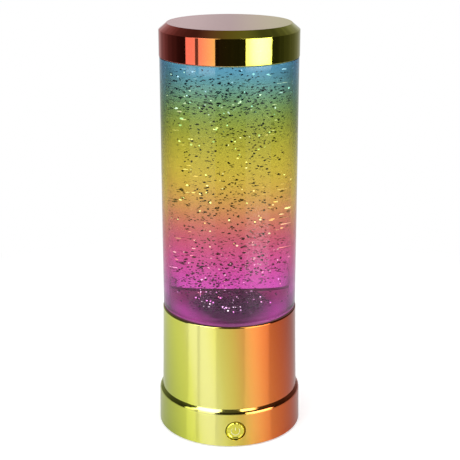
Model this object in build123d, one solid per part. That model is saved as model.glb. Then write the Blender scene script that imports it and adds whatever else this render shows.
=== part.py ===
from build123d import *
from math import atan2, cos, pi, radians, sin, sqrt, tan
import os

# A battery glitter lamp: a liquid-filled clear tank on a metallised base, under a metallised cap.
# Millimetres, +Z up. The origin is on the table under the middle; the button faces -Y.

# Heights of what shows
foot_proud = 0.8
shoulder_rise = 1.9
body_height = 51.2
gasket_thick = 0.3
tank_height = 151.7
cap_gap = 0.3
cap_height = 18.8
chamfer_drop = 3.9

# Steps in radius of what shows, from the skirt ring inward and up
ring_draft = 0.35
shoulder_run = 1.8
crease_step = 0.08
body_draft = 0.95
rim_proud = 0.32
cap_proud = 0.3
chamfer_run = 4.6

# Walls and edges
shell_wall = 2.2
cap_wall = 1.5
tank_wall = 3.0
neck_wall = 1.5
rim_round = 0.7
shoulder_round = 3.6
cap_round = 0.35
edge_round = 0.3

# Clearances shared by the fits
loose_fit = 0.3
slide_fit = 0.2
running_fit = 0.05
cut_overrun = 1.0

# Tank floor, spigot, neck and plug
floor_rise = 1.8
floor_thick = 3.0
spigot_wall = 4.0
pin_r = 1.0
pin_boss_r = 2.5
pin_boss_height = 0.8
pin_grip = 2.2
pin_short = 0.9
plug_depth = 9.0
plug_flange = 2.0
plug_floor = 2.5
plug_side = 4.5
plug_hub_r = 6.5
filler_r = 3.0
bung_head_r = 5.0
bung_head = 1.7
cap_room = 2.1
seal_wire_r = 1.1
seal_groove = 2.6

# Liquid, flakes and the settled glitter
flake_r = 0.95
flake_thick = 0.25
flake_count = 120
flake_floor_gap = 9.0
flake_top_gap = 5.0
heap_gap = 1.5
heap_width = 6.5
heap_height = 3.4

# Stirring impeller and its magnetic drive
magnet_ring_r = 6.0
magnet_rim = 1.5
impeller_disc = 2.8
impeller_hub_gap = 1.0
vane_height = 4.0
vane_thick = 1.1
vane_count = 6
impeller_magnet_r = 2.0
impeller_magnet = 2.0
rotor_thick = 4.3
rotor_hub_r = 3.5
rotor_hub = 2.0
rotor_gap = 2.0
rotor_lift = 1.5
drive_magnet_r = 3.5
drive_magnet = 3.0

# Motor and the deck it hangs from
motor_r = 12.2
motor_length = 12.3
motor_round = 1.2
motor_nose_r = 3.1
motor_nose = 1.0
shaft_r = 1.0
motor_screw_ring_r = 8.0
motor_screw_r = 1.0
motor_screw_length = 6.0
deck_thick = 2.0
shelf_thick = 2.0
shelf_ledge = 4.8
post_r = 2.6
post_inset = 2.0
post_height = 2.0
lead_hole_r = 1.5

# Light board
led_board_gap = 4.0
board_thick = 1.6
led_width = 5.0
led_height = 1.6
led_count = 6
led_start_deg = 30

# Screws
screw_r = 1.25
screw_head_r = 2.5
screw_head = 1.1
screw_bite = 7.0
head_room = 0.3
small_head_r = 1.9
boss_r = 3.2

# Bottom plate, feet and battery box
plate_thick = 2.2
plate_recess = 1.2
clamp_rib = 2.0
clamp_rib_width = 1.3
lip_depth = 2.0
lip_wall = 1.6
lip_rise = 2.5
lip_gap = 0.7
boss_rise = 10.7
foot_width = 1.8
foot_edge = 0.2
foot_seat = 0.8
cell_r = 7.25
cell_length = 49.2
cell_nub_r = 2.75
cell_nub = 1.3
cell_gap = 0.2
cell_count = 3
cell_clear = 0.3
cell_edge_round = 0.8
contact_depth = 2.5
contact_metal = 0.4
contact_width = 8.0
contact_height = 10.5
contact_tail = 3.2
contact_tail_width = 3.0
box_wall = 1.5
corner_gap = 0.36
cradle_depth = 3.0
door_seat = 1.0
door_ear_r = 3.2
door_ear_out = 2.95
door_grip_count = 5
door_grip_pitch = 3.0
door_grip_width = 1.2
door_grip_length = 18.0
door_grip_depth = 0.5
counterbore = 1.2

# Button, switch and control board
button_bore_r = 6.1
button_gap = 0.35
button_sink = 0.3
button_bevel = 0.7
button_length = 6.5
button_travel = 1.5
button_ear_grip = 1.2
button_ear = 1.2
ear_half_share = 0.82
guide_wall = 1.4
guide_half_share = 0.9
guide_lift = 1.06
symbol_share = 0.55
symbol_line = 0.5
symbol_relief = 0.2
symbol_gap_deg = 80
plunger_r = 1.5
plunger_out = 2.5
plunger_in = 3.0
switch_width = 8.0
switch_back = 0.9
board_gap = 0.63
control_width = 26.0
control_height = 16.5
slot_depth = 1.2
guide_post_width = 4.0
guide_post_depth = 5.0
chip_width = 5.0
chip_height = 4.0
chip_thick = 1.5
can_r = 2.5
can_length = 5.0
part_gap = 1.3

# Leads, each soldered at both ends
lead_r = 0.6
lead_sides = 8
lead_rise = 8.0
lead_bend_share = 0.45
motor_lead_x = 3.0
led_lead_x = 6.5
battery_lead_x = 10.0
motor_lead_y = 7.5

# Heights of the base, which the cells set, from the table up
ring_z = foot_proud
plate_z = ring_z + plate_recess
plate_top_z = plate_z + plate_thick
cell_z = plate_top_z + cell_clear + cell_r
box_roof_z = cell_z + cell_r + cell_clear
box_top_z = box_roof_z + box_wall
body_z = box_top_z + lip_gap + lip_depth
ring_top_z = body_z - shoulder_rise
guide_half = guide_half_share * button_bore_r
button_z = plate_top_z + guide_lift + guide_half

# Heights of the tank, its drive and the cap
rim_z = body_z + body_height
tank_z = rim_z + gasket_thick
tank_top_z = tank_z + tank_height
cap_z = tank_top_z + cap_gap
cap_top_z = cap_z + cap_height
floor_z = tank_z + floor_rise
floor_under_z = floor_z - floor_thick
plug_top_z = cap_top_z - cap_wall - cap_room - bung_head
neck_z = plug_top_z - plug_flange
plug_z = neck_z - plug_depth
rotor_z = floor_under_z - rotor_gap - rotor_thick
deck_z = rotor_z - rotor_hub - rotor_lift
shelf_z = deck_z - deck_thick
shelf_under_z = shelf_z - shelf_thick
led_board_z = deck_z + post_height
motor_z = shelf_z - motor_length
impeller_z = floor_z + pin_boss_height + loose_fit
impeller_top_z = impeller_z + impeller_disc + vane_height
pin_top_z = impeller_top_z - pin_short
liquid_z = floor_z + loose_fit
liquid_top_z = plug_z - loose_fit

# Plan of the battery box and of the button's stack in front of it
cell_pitch = 2 * cell_r + cell_gap
box_x = cell_length / 2 + cell_nub / 2 + contact_depth
box_y = cell_pitch * (cell_count - 1) / 2 + cell_r + cell_clear
door_x = box_x + door_seat
door_y = box_y + door_seat
ear_y = door_y + door_ear_out
switch_depth = plunger_in + button_travel + switch_back
draft_at_button = ring_draft * (button_z - ring_z) / (ring_top_z - ring_z)
button_stack = button_sink + button_length + plunger_out + switch_depth + board_thick
stack_to_back = draft_at_button + button_stack + board_gap + door_ear_r + ear_y + box_y + box_wall

# The skirt ring is the smallest that holds that stack in front and the box's corners behind
corner_inset = shell_wall + clamp_rib_width + corner_gap
corner_x = box_x + box_wall
ring_foot_r = (corner_x ** 2 + stack_to_back ** 2 - corner_inset ** 2) / (2 * (stack_to_back - corner_inset))
ring_top_r = ring_foot_r - ring_draft
shoulder_r = ring_top_r - shoulder_run
body_foot_r = shoulder_r - crease_step
body_rim_r = body_foot_r - body_draft
tank_r = body_rim_r - rim_proud
cap_r = tank_r + cap_proud
cap_face_r = cap_r - chamfer_run
body_slope_share = body_draft / body_height

# Radii inside the tank and the base
tank_bore_r = tank_r - tank_wall
neck_r = tank_bore_r + neck_wall
liquid_r = tank_bore_r - loose_fit
spigot_r = body_rim_r - shell_wall - loose_fit
spigot_bore_r = spigot_r - spigot_wall
deck_r = spigot_bore_r - slide_fit * 2
shelf_bore_r = deck_r - shelf_ledge
post_ring_r = shelf_bore_r - post_inset
impeller_r = magnet_ring_r + impeller_magnet_r + magnet_rim
impeller_hub_r = magnet_ring_r - impeller_magnet_r - impeller_hub_gap
heap_inner_r = impeller_r + heap_gap
heap_outer_r = heap_inner_r + heap_width
rotor_r = magnet_ring_r + drive_magnet_r + magnet_rim
led_board_bore_r = rotor_r + led_board_gap
led_ring_r = (led_board_bore_r + post_ring_r) / 2
tank_screw_ring_r = (spigot_bore_r + spigot_r) / 2 - slide_fit
deck_screw_ring_r = (shelf_bore_r + deck_r) / 2
plate_r = ring_foot_r - shell_wall - loose_fit
flange_r = shoulder_r - shell_wall - loose_fit
post_reach_r = flange_r - boss_r - loose_fit

# Places along Y, from the button back to the box
button_y = draft_at_button + button_sink - ring_foot_r
button_back_y = button_y + button_length
switch_y = button_back_y + plunger_out
control_y = switch_y + switch_depth
box_back_shift = control_y + board_thick + board_gap + door_ear_r + ear_y
button_r = button_bore_r - button_gap
button_ear_r = button_bore_r + button_ear_grip
button_ear_half = ear_half_share * button_bore_r
guide_r = button_bore_r + guide_wall
symbol_r = symbol_share * button_r
led_lead_y = led_ring_r
part_offset = control_width / 2 - slot_depth - part_gap - can_r

# The base's screw posts: two behind the box, two beside the control board
back_post_y = box_back_shift + box_y + box_wall + boss_r + loose_fit
back_post_x = sqrt(post_reach_r ** 2 - back_post_y ** 2)
front_post_x = control_width / 2 - slot_depth + guide_post_width + 2 * boss_r - foot_width
front_post_y = -sqrt(post_reach_r ** 2 - front_post_x ** 2)
post_places = [(back_post_x, back_post_y), (-back_post_x, back_post_y),
               (-front_post_x, front_post_y), (front_post_x, front_post_y)]
ear_places = [(0, box_back_shift - ear_y), (0, box_back_shift + ear_y)]


def body_radius(height):
    """Outer radius of the tapered base body at a height above the table."""
    return body_foot_r - body_slope_share * (height - body_z)


def turned(*corners):
    """Turns a closed outline about Z; each corner is (radius, height) or (radius, height, round)."""
    points = [(corner[0], corner[1]) for corner in corners]
    rounds = [corner[2] if len(corner) > 2 else 0 for corner in corners]
    outline = make_face(FilletPolyline(*points, radius=rounds, close=True))
    return revolve(Plane.XZ * outline, Axis.Z)


def rod(radius, low, high, x=0, y=0):
    """An upright rod between two heights."""
    return Pos(x, y, low) * Cylinder(radius, high - low, align=(Align.CENTER, Align.CENTER, Align.MIN))


def hole(radius, low, high, x=0, y=0):
    """The cutter of an upright hole, running past both heights."""
    return rod(radius, low - cut_overrun, high + cut_overrun, x, y)


def rod_in(radius, front, back, x=0, z=0):
    """A rod lying along Y between two depths."""
    middle = (front + back) / 2
    return Pos(x, middle, z) * Rot(90, 0, 0) * Cylinder(radius, back - front)


def block(x_range, y_range, z_range):
    """A block between pairs of X, Y and Z places."""
    sizes = [high - low for low, high in (x_range, y_range, z_range)]
    centre = [(high + low) / 2 for low, high in (x_range, y_range, z_range)]
    return Pos(*centre) * Box(*sizes)


def around(radius, angles):
    """Places on a circle, one for each angle in degrees."""
    return [(radius * cos(radians(angle)), radius * sin(radians(angle))) for angle in angles]


def spread(count, start=0):
    """Equal angles round a full turn."""
    return [start + 360 * number / count for number in range(count)]


def group(pieces):
    """Separate solids kept in one node."""
    return Compound(children=list(pieces))


def screw(x, y, seat_z, length, head_up=True, radius=screw_r, head_r=screw_head_r, head=screw_head):
    """A pan-head screw whose head bears on seat_z."""
    way = 1 if head_up else -1
    low, high = sorted((seat_z, seat_z + way * head))
    shank_low, shank_high = sorted((seat_z, seat_z - way * length))
    body = rod(head_r, low, high, x, y) + rod(radius, shank_low, shank_high, x, y)
    slot_low, slot_high = sorted((seat_z + way * head, seat_z + way * head / 2))
    cross = [block((x - head_r / 2, x + head_r / 2), (y - head_r / 8, y + head_r / 8), (slot_low, slot_high)),
             block((x - head_r / 8, x + head_r / 8), (y - head_r / 2, y + head_r / 2), (slot_low, slot_high))]
    return body - cross


def small_screw(x, y, seat_z, length):
    """Screw of the motor and of the light board, head up."""
    return screw(x, y, seat_z, length, True, motor_screw_r, small_head_r)


def save(name, shape):
    export_step(shape, f"parts/{name}.step")


def top_cap():
    """Chamfered metallised cap, an even wall all round."""
    slope = atan2(chamfer_drop, cap_r - cap_face_r)
    side_inset = cap_wall * tan((pi / 2 - slope) / 2)
    face_inset = cap_wall * tan(slope / 2)
    return turned(
        (cap_r - cap_wall, cap_z),
        (cap_r, cap_z, cap_round),
        (cap_r, cap_top_z - chamfer_drop, cap_round),
        (cap_face_r, cap_top_z, cap_round),
        (0, cap_top_z),
        (0, cap_top_z - cap_wall),
        (cap_face_r - face_inset, cap_top_z - cap_wall),
        (cap_r - cap_wall, cap_top_z - chamfer_drop - side_inset),
    )


def tank():
    """Clear tank: stepped neck above, floor with a pin boss, spigot below."""
    shell = turned(
        (0, floor_under_z),
        (spigot_bore_r, floor_under_z),
        (spigot_bore_r, shelf_z + loose_fit),
        (spigot_r, shelf_z + loose_fit, edge_round),
        (spigot_r, tank_z),
        (tank_r, tank_z),
        (tank_r, tank_top_z, edge_round),
        (neck_r, tank_top_z),
        (neck_r, neck_z),
        (tank_bore_r, neck_z),
        (tank_bore_r, floor_z),
        (pin_boss_r, floor_z),
        (pin_boss_r, floor_z + pin_boss_height),
        (pin_r, floor_z + pin_boss_height),
        (pin_r, floor_z - pin_grip),
        (0, floor_z - pin_grip),
    )
    pilots = [rod(screw_r + running_fit, shelf_z, shelf_z + loose_fit + screw_bite, x, y)
              for x, y in around(tank_screw_ring_r, spread(3))]
    return shell - pilots


def tank_gasket():
    """Flat washer between the tank's foot and the rim of the base."""
    bore_r, edge_r = spigot_r + loose_fit, tank_r - slide_fit
    return turned((bore_r, rim_z), (edge_r, rim_z), (edge_r, tank_z), (bore_r, tank_z))


def tank_plug():
    """Dished plug in the neck, with a seal groove and a filler hole."""
    plug_r = tank_bore_r - slide_fit
    groove_low = plug_z + plug_floor
    groove_r = tank_bore_r - 2 * seal_wire_r - running_fit
    return turned(
        (filler_r, plug_z),
        (plug_r, plug_z, edge_round),
        (plug_r, groove_low),
        (groove_r, groove_low),
        (groove_r, groove_low + seal_groove),
        (plug_r, groove_low + seal_groove),
        (plug_r, neck_z),
        (neck_r, neck_z),
        (neck_r, neck_z + plug_flange, edge_round),
        (tank_bore_r - plug_side, neck_z + plug_flange),
        (tank_bore_r - plug_side - plug_flange, plug_z + plug_floor),
        (plug_hub_r, plug_z + plug_floor),
        (plug_hub_r, neck_z + plug_flange),
        (filler_r, neck_z + plug_flange),
    )


def plug_seal():
    """Rubber ring in the plug's groove."""
    seal_z = plug_z + plug_floor + seal_groove / 2
    return Pos(0, 0, seal_z) * Torus(tank_bore_r - seal_wire_r - running_fit / 2, seal_wire_r)


def filler_bung():
    """Rubber bung in the filler hole."""
    top = neck_z + plug_flange
    return turned(
        (0, plug_z + edge_round),
        (filler_r - running_fit, plug_z + edge_round),
        (filler_r - running_fit, top),
        (bung_head_r, top),
        (bung_head_r, top + bung_head, edge_round),
        (0, top + bung_head),
    )


def flakes():
    """Hexagonal flakes spread evenly through the liquid, each turned its own way."""
    golden = 180 * (3 - sqrt(5))
    flake = extrude(RegularPolygon(flake_r, 6), flake_thick)
    low = floor_z + flake_floor_gap
    high = liquid_top_z - flake_top_gap
    reach = liquid_r - 2 * flake_r
    pieces = []
    for number in range(flake_count):
        along = (number + 1 / 2) / flake_count
        out = reach * sqrt((number * 7 % flake_count + 3) / (flake_count + 3))
        turn = golden * number
        x, y = around(out, [turn])[0]
        lean = 25 + 130 * ((number * 3 % 17) / 17)
        pieces.append(Pos(x, y, low + (high - low) * along) * Rot(lean, turn % 50, turn) * flake)
    return pieces


def settled_glitter():
    """Ring of settled flakes on the tank floor, round the impeller."""
    span = heap_outer_r - heap_inner_r
    mound = turned(
        (heap_inner_r, floor_z),
        (heap_inner_r, floor_z + heap_height / 2),
        (heap_inner_r + span / 4, floor_z + heap_height, heap_height / 3),
        (heap_inner_r + span / 2, floor_z + heap_height * 3 / 4, heap_height / 3),
        (heap_outer_r, floor_z),
    )
    valleys = [Pos(x, y, floor_z + heap_height * 2) * Sphere(heap_height * 3 / 2)
               for x, y in around(heap_inner_r + span / 3, (20, 95, 160, 245, 310))]
    return mound - valleys


def liquid(flake_pieces, heap):
    """Clear filling, with room for the impeller and pockets for what it carries."""
    filling = rod(liquid_r, liquid_z, liquid_top_z)
    room_top = impeller_top_z + loose_fit
    room = rod(heap_inner_r - loose_fit, floor_z, room_top)
    pin_room = rod(pin_r + loose_fit, floor_z, pin_top_z + loose_fit)
    return filling - [room, pin_room, heap] - flake_pieces


def pivot_pin():
    """Steel pin pressed into the tank floor."""
    return rod(pin_r, floor_z - pin_grip, pin_top_z)


def impeller():
    """Stirrer with curved vanes over a disc that holds two magnets."""
    disc_top = impeller_z + impeller_disc
    wheel = rod(impeller_r, impeller_z, disc_top) + rod(impeller_hub_r, disc_top, disc_top + vane_height)
    inner = impeller_hub_r - vane_thick / 2
    sweep_y = impeller_r / 3
    tip_x = sqrt((impeller_r - edge_round) ** 2 - sweep_y ** 2) - vane_thick
    bow = (inner + tip_x) / 2
    vane_outline = (
        ThreePointArc((inner, 0), (bow, -sweep_y / 8), (tip_x, sweep_y))
        + Line((tip_x, sweep_y), (tip_x - vane_thick / 2, sweep_y + vane_thick))
        + ThreePointArc((tip_x - vane_thick / 2, sweep_y + vane_thick),
                        (bow, vane_thick - sweep_y / 8), (inner, vane_thick))
        + Line((inner, vane_thick), (inner, 0))
    )
    vane = Pos(0, 0, disc_top) * extrude(make_face(vane_outline), vane_height)
    wheel += [Rot(0, 0, angle) * vane for angle in spread(vane_count)]
    bore = hole(pin_r + running_fit, impeller_z, disc_top + vane_height)
    pockets = [rod(impeller_magnet_r, impeller_z - cut_overrun, impeller_z + impeller_magnet, x, y)
               for x, y in around(magnet_ring_r, spread(2))]
    return wheel - [bore] - pockets


def impeller_magnets():
    """Two disc magnets glued into the impeller."""
    return [rod(impeller_magnet_r, impeller_z, impeller_z + impeller_magnet, x, y)
            for x, y in around(magnet_ring_r, spread(2))]


def base_housing():
    """Tapered metallised body with its inner shelf, screw bosses and locating lip."""
    lip_r = flange_r - loose_fit
    inner_heights = (rim_z, shelf_z, shelf_under_z, body_z + lip_rise)
    inside = [body_radius(height) - shell_wall for height in inner_heights]
    shell = turned(
        (body_foot_r, body_z),
        (body_rim_r, rim_z, rim_round),
        (inside[0], rim_z),
        (inside[1], shelf_z),
        (shelf_bore_r, shelf_z, edge_round),
        (shelf_bore_r, shelf_under_z, edge_round),
        (inside[2], shelf_under_z),
        (inside[3], body_z + lip_rise),
        (lip_r - lip_wall, body_z + lip_rise),
        (lip_r - lip_wall, body_z - lip_depth),
        (lip_r, body_z - lip_depth),
        (lip_r, body_z),
    )
    posts = [rod(boss_r, plate_top_z, body_z + boss_rise, x, y) for x, y in post_places]
    bosses = [rod(boss_r, shelf_z - screw_bite, shelf_z, x, y)
              for x, y in around(deck_screw_ring_r, spread(3, 60))]
    pilots = [rod(screw_r + running_fit, plate_z, plate_top_z + screw_bite, x, y) for x, y in post_places]
    pilots += [rod(screw_r + running_fit, shelf_z - screw_bite + deck_thick, shelf_z + cut_overrun, x, y)
               for x, y in around(deck_screw_ring_r, spread(3, 60))]
    pilots += [hole(screw_r + loose_fit, shelf_under_z, shelf_z, x, y)
               for x, y in around(tank_screw_ring_r, spread(3))]
    return shell + posts + bosses - pilots


def base_ring():
    """Metallised skirt ring: rounded shoulder, clamp rib, button bore and its two guide cheeks."""
    wall_top_r = ring_top_r - shell_wall
    wall_foot_r = ring_foot_r - shell_wall
    rib_low = plate_top_z
    shell = turned(
        (wall_foot_r, ring_z),
        (ring_foot_r, ring_z, edge_round),
        (ring_top_r, ring_top_z, shoulder_round),
        (shoulder_r, body_z),
        (flange_r, body_z),
        (flange_r, body_z - lip_depth),
        (wall_top_r, body_z - lip_depth),
        (wall_foot_r, rib_low + clamp_rib),
        (wall_foot_r - clamp_rib_width, rib_low + clamp_rib),
        (wall_foot_r - clamp_rib_width, rib_low),
        (wall_foot_r, rib_low),
    )
    guide_y = button_back_y - button_ear - loose_fit
    cheeks = rod_in(guide_r, -wall_top_r, guide_y, 0, button_z)
    cheeks &= block((-guide_r, guide_r), (-ring_foot_r, 0), (button_z - guide_half, button_z + guide_half))
    bore = rod_in(button_bore_r, -ring_foot_r - cut_overrun, guide_y + cut_overrun, 0, button_z)
    return shell + cheeks - bore


def motor_deck():
    """Round deck on the shelf: it carries the motor below and the light board above."""
    deck = turned(
        (motor_nose_r + loose_fit, shelf_z),
        (deck_r, shelf_z, edge_round),
        (deck_r, deck_z, edge_round),
        (motor_nose_r + loose_fit, deck_z),
    )
    posts = [rod(post_r, deck_z, led_board_z, x, y) for x, y in around(post_ring_r, spread(3))]
    cuts = [rod(motor_screw_r + running_fit, shelf_z, led_board_z, x, y)
            for x, y in around(post_ring_r, spread(3))]
    cuts += [hole(screw_r + loose_fit, shelf_z, deck_z, x, y)
             for x, y in around(deck_screw_ring_r, spread(3, 60))]
    cuts += [hole(motor_screw_r + slide_fit, shelf_z, deck_z, x, y)
             for x, y in around(motor_screw_ring_r, spread(2))]
    cuts += [hole(lead_hole_r, shelf_z, deck_z, x, -led_lead_y)
             for x in (-led_lead_x, led_lead_x)]
    return deck + posts - cuts


def motor():
    """Flat motor can with its bearing nose, bored for the shaft."""
    can = turned(
        (shaft_r + running_fit, motor_z + motor_round),
        (shaft_r + running_fit, shelf_z + motor_nose),
        (motor_nose_r, shelf_z + motor_nose),
        (motor_nose_r, shelf_z),
        (motor_r, shelf_z, motor_round),
        (motor_r, motor_z, motor_round),
        (0, motor_z),
        (0, motor_z + motor_round),
    )
    pilot_low = shelf_z - motor_screw_length + deck_thick
    pilots = [rod(motor_screw_r + running_fit, pilot_low, shelf_z + cut_overrun, x, y)
              for x, y in around(motor_screw_ring_r, spread(2))]
    return can - pilots


def motor_shaft():
    return rod(shaft_r, motor_z + motor_round + loose_fit, rotor_z + rotor_thick)


def drive_rotor():
    """Magnet carrier on the motor shaft."""
    wheel = turned(
        (shaft_r, rotor_z - rotor_hub),
        (rotor_hub_r, rotor_z - rotor_hub, edge_round),
        (rotor_hub_r, rotor_z),
        (rotor_r, rotor_z, edge_round),
        (rotor_r, rotor_z + rotor_thick, edge_round),
        (shaft_r, rotor_z + rotor_thick),
    )
    top = rotor_z + rotor_thick
    pockets = [rod(drive_magnet_r, top - drive_magnet, top + cut_overrun, x, y)
               for x, y in around(magnet_ring_r, spread(2))]
    return wheel - pockets


def drive_magnets():
    return [rod(drive_magnet_r, rotor_z + rotor_thick - drive_magnet, rotor_z + rotor_thick, x, y)
            for x, y in around(magnet_ring_r, spread(2))]


def led_board():
    """Ring-shaped light board."""
    board = turned(
        (led_board_bore_r, led_board_z),
        (deck_r, led_board_z),
        (deck_r, led_board_z + board_thick),
        (led_board_bore_r, led_board_z + board_thick),
    )
    holes = [hole(motor_screw_r + slide_fit, led_board_z, led_board_z + board_thick, x, y)
             for x, y in around(post_ring_r, spread(3))]
    heads = [hole(screw_head_r + loose_fit, led_board_z, led_board_z + board_thick, x, y)
             for x, y in around(deck_screw_ring_r, spread(3, 60))]
    return board - holes - heads


def leds():
    """Square light packages on the board, each with a round lens well."""
    base_z = led_board_z + board_thick
    half = led_width / 2
    package = block((led_ring_r - half, led_ring_r + half), (-half, half), (base_z, base_z + led_height))
    package -= rod(half * 3 / 4, base_z + led_height / 2, base_z + led_height + cut_overrun, led_ring_r)
    return [Rot(0, 0, angle) * package for angle in spread(led_count, led_start_deg)]


def battery_box():
    """Walls, roof and cell cradles of the battery box, open below."""
    front = box_back_shift - box_y
    back = box_back_shift + box_y
    outer_x = box_x + box_wall
    outer = block((-outer_x, outer_x), (front - box_wall, back + box_wall), (plate_z, box_top_z))
    outer = fillet(outer.edges().filter_by(Axis.Z), box_wall)
    box = outer - block((-box_x, box_x), (front, back), (plate_z - cut_overrun, box_roof_z))
    for place in range(1, cell_count):
        ridge_y = front + cell_clear + 2 * cell_r * place + cell_gap * (place - 1 / 2)
        ridge = Polyline((ridge_y - cradle_depth / 2, box_roof_z), (ridge_y + cradle_depth / 2, box_roof_z),
                         (ridge_y, box_roof_z - cradle_depth), close=True)
        ridge_solid = extrude(Plane.YZ * make_face(ridge), cell_length / 3, both=True)
        box += ridge_solid
    return box


def base_plate():
    """Bottom plate with the battery box, door recess, bosses, board guides and foot groove."""
    low = plate_z - cut_overrun
    top = plate_top_z
    front = box_back_shift - box_y
    back = box_back_shift + box_y
    plate = turned((0, plate_z), (plate_r, plate_z, edge_round), (plate_r, top), (0, top)) + battery_box()
    plate += [rod(door_ear_r, top, top + screw_bite + cut_overrun, x, y) for x, y in ear_places]
    plate -= block((-door_x, door_x), (box_back_shift - door_y, box_back_shift + door_y), (low, top))
    plate -= block((-box_x, box_x), (front, back), (top - cut_overrun, cell_z))
    plate -= [rod(door_ear_r + loose_fit, low, top, x, y) for x, y in ear_places]
    plate -= block((-door_ear_r - loose_fit, door_ear_r + loose_fit),
                   (box_back_shift - ear_y, box_back_shift + ear_y), (low, top))
    plate -= [rod(screw_r + running_fit, plate_z, top + screw_bite, x, y) for x, y in ear_places]
    plate -= [hole(screw_r + loose_fit, plate_z, top, x, y) for x, y in post_places]
    plate -= [rod(screw_head_r + loose_fit, low, plate_z + counterbore, x, y) for x, y in post_places]
    plate -= turned(
        (plate_r - foot_edge - foot_width, plate_z - cut_overrun),
        (plate_r - foot_edge, plate_z - cut_overrun),
        (plate_r - foot_edge, plate_z + foot_seat),
        (plate_r - foot_edge - foot_width, plate_z + foot_seat),
    )
    board_half = control_width / 2
    slot = block((-board_half - slide_fit, board_half + slide_fit),
                 (control_y - slide_fit / 2, control_y + board_thick + slide_fit / 2),
                 (plate_top_z, plate_top_z + control_height + cut_overrun))
    middle_y = control_y + board_thick / 2
    post_x = board_half - slot_depth
    for side in (-1, 1):
        near, far = sorted((side * post_x, side * (post_x + guide_post_width)))
        post = block((near, far), (middle_y - guide_post_depth / 2, middle_y + guide_post_depth / 2),
                     (plate_top_z, plate_top_z + control_height * 3 / 4))
        plate += post - slot
    for x in (-box_x, box_x):
        tail_y = box_back_shift + (cell_pitch if x > 0 else -cell_pitch)
        near, far = sorted((x, x - (contact_metal + slide_fit) * (1 if x > 0 else -1)))
        half = contact_tail_width / 2 + slide_fit
        plate -= block((near, far), (tail_y - half, tail_y + half),
                       (box_roof_z - cut_overrun, box_top_z + cut_overrun))
    return plate


def battery_door():
    """Flat battery door with two screw ears and finger grips."""
    low = plate_z - cut_overrun
    top = plate_top_z
    half_x = door_x - loose_fit
    half_y = door_y - loose_fit
    door = block((-half_x, half_x), (box_back_shift - half_y, box_back_shift + half_y), (plate_z, top))
    door += [rod(door_ear_r, plate_z, top, x, y) for x, y in ear_places]
    door += block((-door_ear_r, door_ear_r), (box_back_shift - ear_y, box_back_shift + ear_y), (plate_z, top))
    door -= [hole(screw_r + slide_fit, plate_z, top, x, y) for x, y in ear_places]
    door -= [rod(screw_head_r + slide_fit, low, plate_z + counterbore, x, y) for x, y in ear_places]
    start = box_back_shift - door_grip_pitch * (door_grip_count - 1) / 2 - door_grip_width / 2
    for number in range(door_grip_count):
        y = start + door_grip_pitch * number
        door -= block((-door_grip_length / 2, door_grip_length / 2), (y, y + door_grip_width),
                      (low, plate_z + door_grip_depth))
    return door


def foot_ring():
    """Soft ring glued into the groove round the bottom plate."""
    outer = plate_r - foot_edge - running_fit
    inner = plate_r - foot_edge - foot_width + running_fit
    return turned(
        (inner, 0, edge_round),
        (outer, 0, edge_round),
        (outer, plate_z + foot_seat),
        (inner, plate_z + foot_seat),
    )


def battery(number):
    """One cell, turned end for end from its neighbour."""
    way = 1 if number % 2 == 0 else -1
    shell = turned(
        (0, -cell_length / 2),
        (cell_r, -cell_length / 2, cell_edge_round),
        (cell_r, cell_length / 2, cell_edge_round),
        (cell_nub_r, cell_length / 2),
        (cell_nub_r, cell_length / 2 + cell_nub, edge_round),
        (0, cell_length / 2 + cell_nub),
    )
    y = box_back_shift + cell_pitch * (number - (cell_count - 1) / 2)
    return Pos(-way * cell_nub / 2, y, cell_z) * Rot(0, 90 * way, 0) * shell


def battery_contacts():
    """Bowed spring contacts, paired by bridges so that the cells sit in series."""
    pieces = []
    half = contact_height / 2
    for side in (-1, 1):
        wall = side * box_x
        face = wall - side * contact_metal
        tip = wall - side * (contact_depth - running_fit * 2)
        back = tip + side * contact_metal
        bow = (
            ThreePointArc((face, -half), (tip, 0), (face, half))
            + Line((face, half), (face, half - contact_metal * 2))
            + ThreePointArc((face, half - contact_metal * 2), (back, 0), (face, contact_metal * 2 - half))
            + Line((face, contact_metal * 2 - half), (face, -half))
        )
        leaf = extrude(Plane.XZ * make_face(bow), contact_width / 2, both=True)
        leaves = [Pos(0, box_back_shift + cell_pitch * (number - 1), cell_z) * leaf
                  for number in range(cell_count)]
        near, far = sorted((wall, face))
        lone = 1 if side > 0 else -1
        lone_y = box_back_shift + cell_pitch * lone
        pair_y = sorted((box_back_shift, box_back_shift - cell_pitch * lone))
        wide = contact_width / 2
        lone_plate = block((near, far), (lone_y - wide, lone_y + wide), (cell_z - half, cell_z + half))
        tail = contact_tail_width / 2
        lone_plate += block((near, far), (lone_y - tail, lone_y + tail), (cell_z, box_top_z + contact_tail))
        pair_plate = block((near, far), (pair_y[0] - wide, pair_y[1] + wide), (cell_z - half, cell_z + half))
        for number, spring in enumerate(leaves):
            if number - 1 == lone:
                lone_plate += spring
            else:
                pair_plate += spring
        pieces += [lone_plate, pair_plate]
    return pieces


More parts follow.
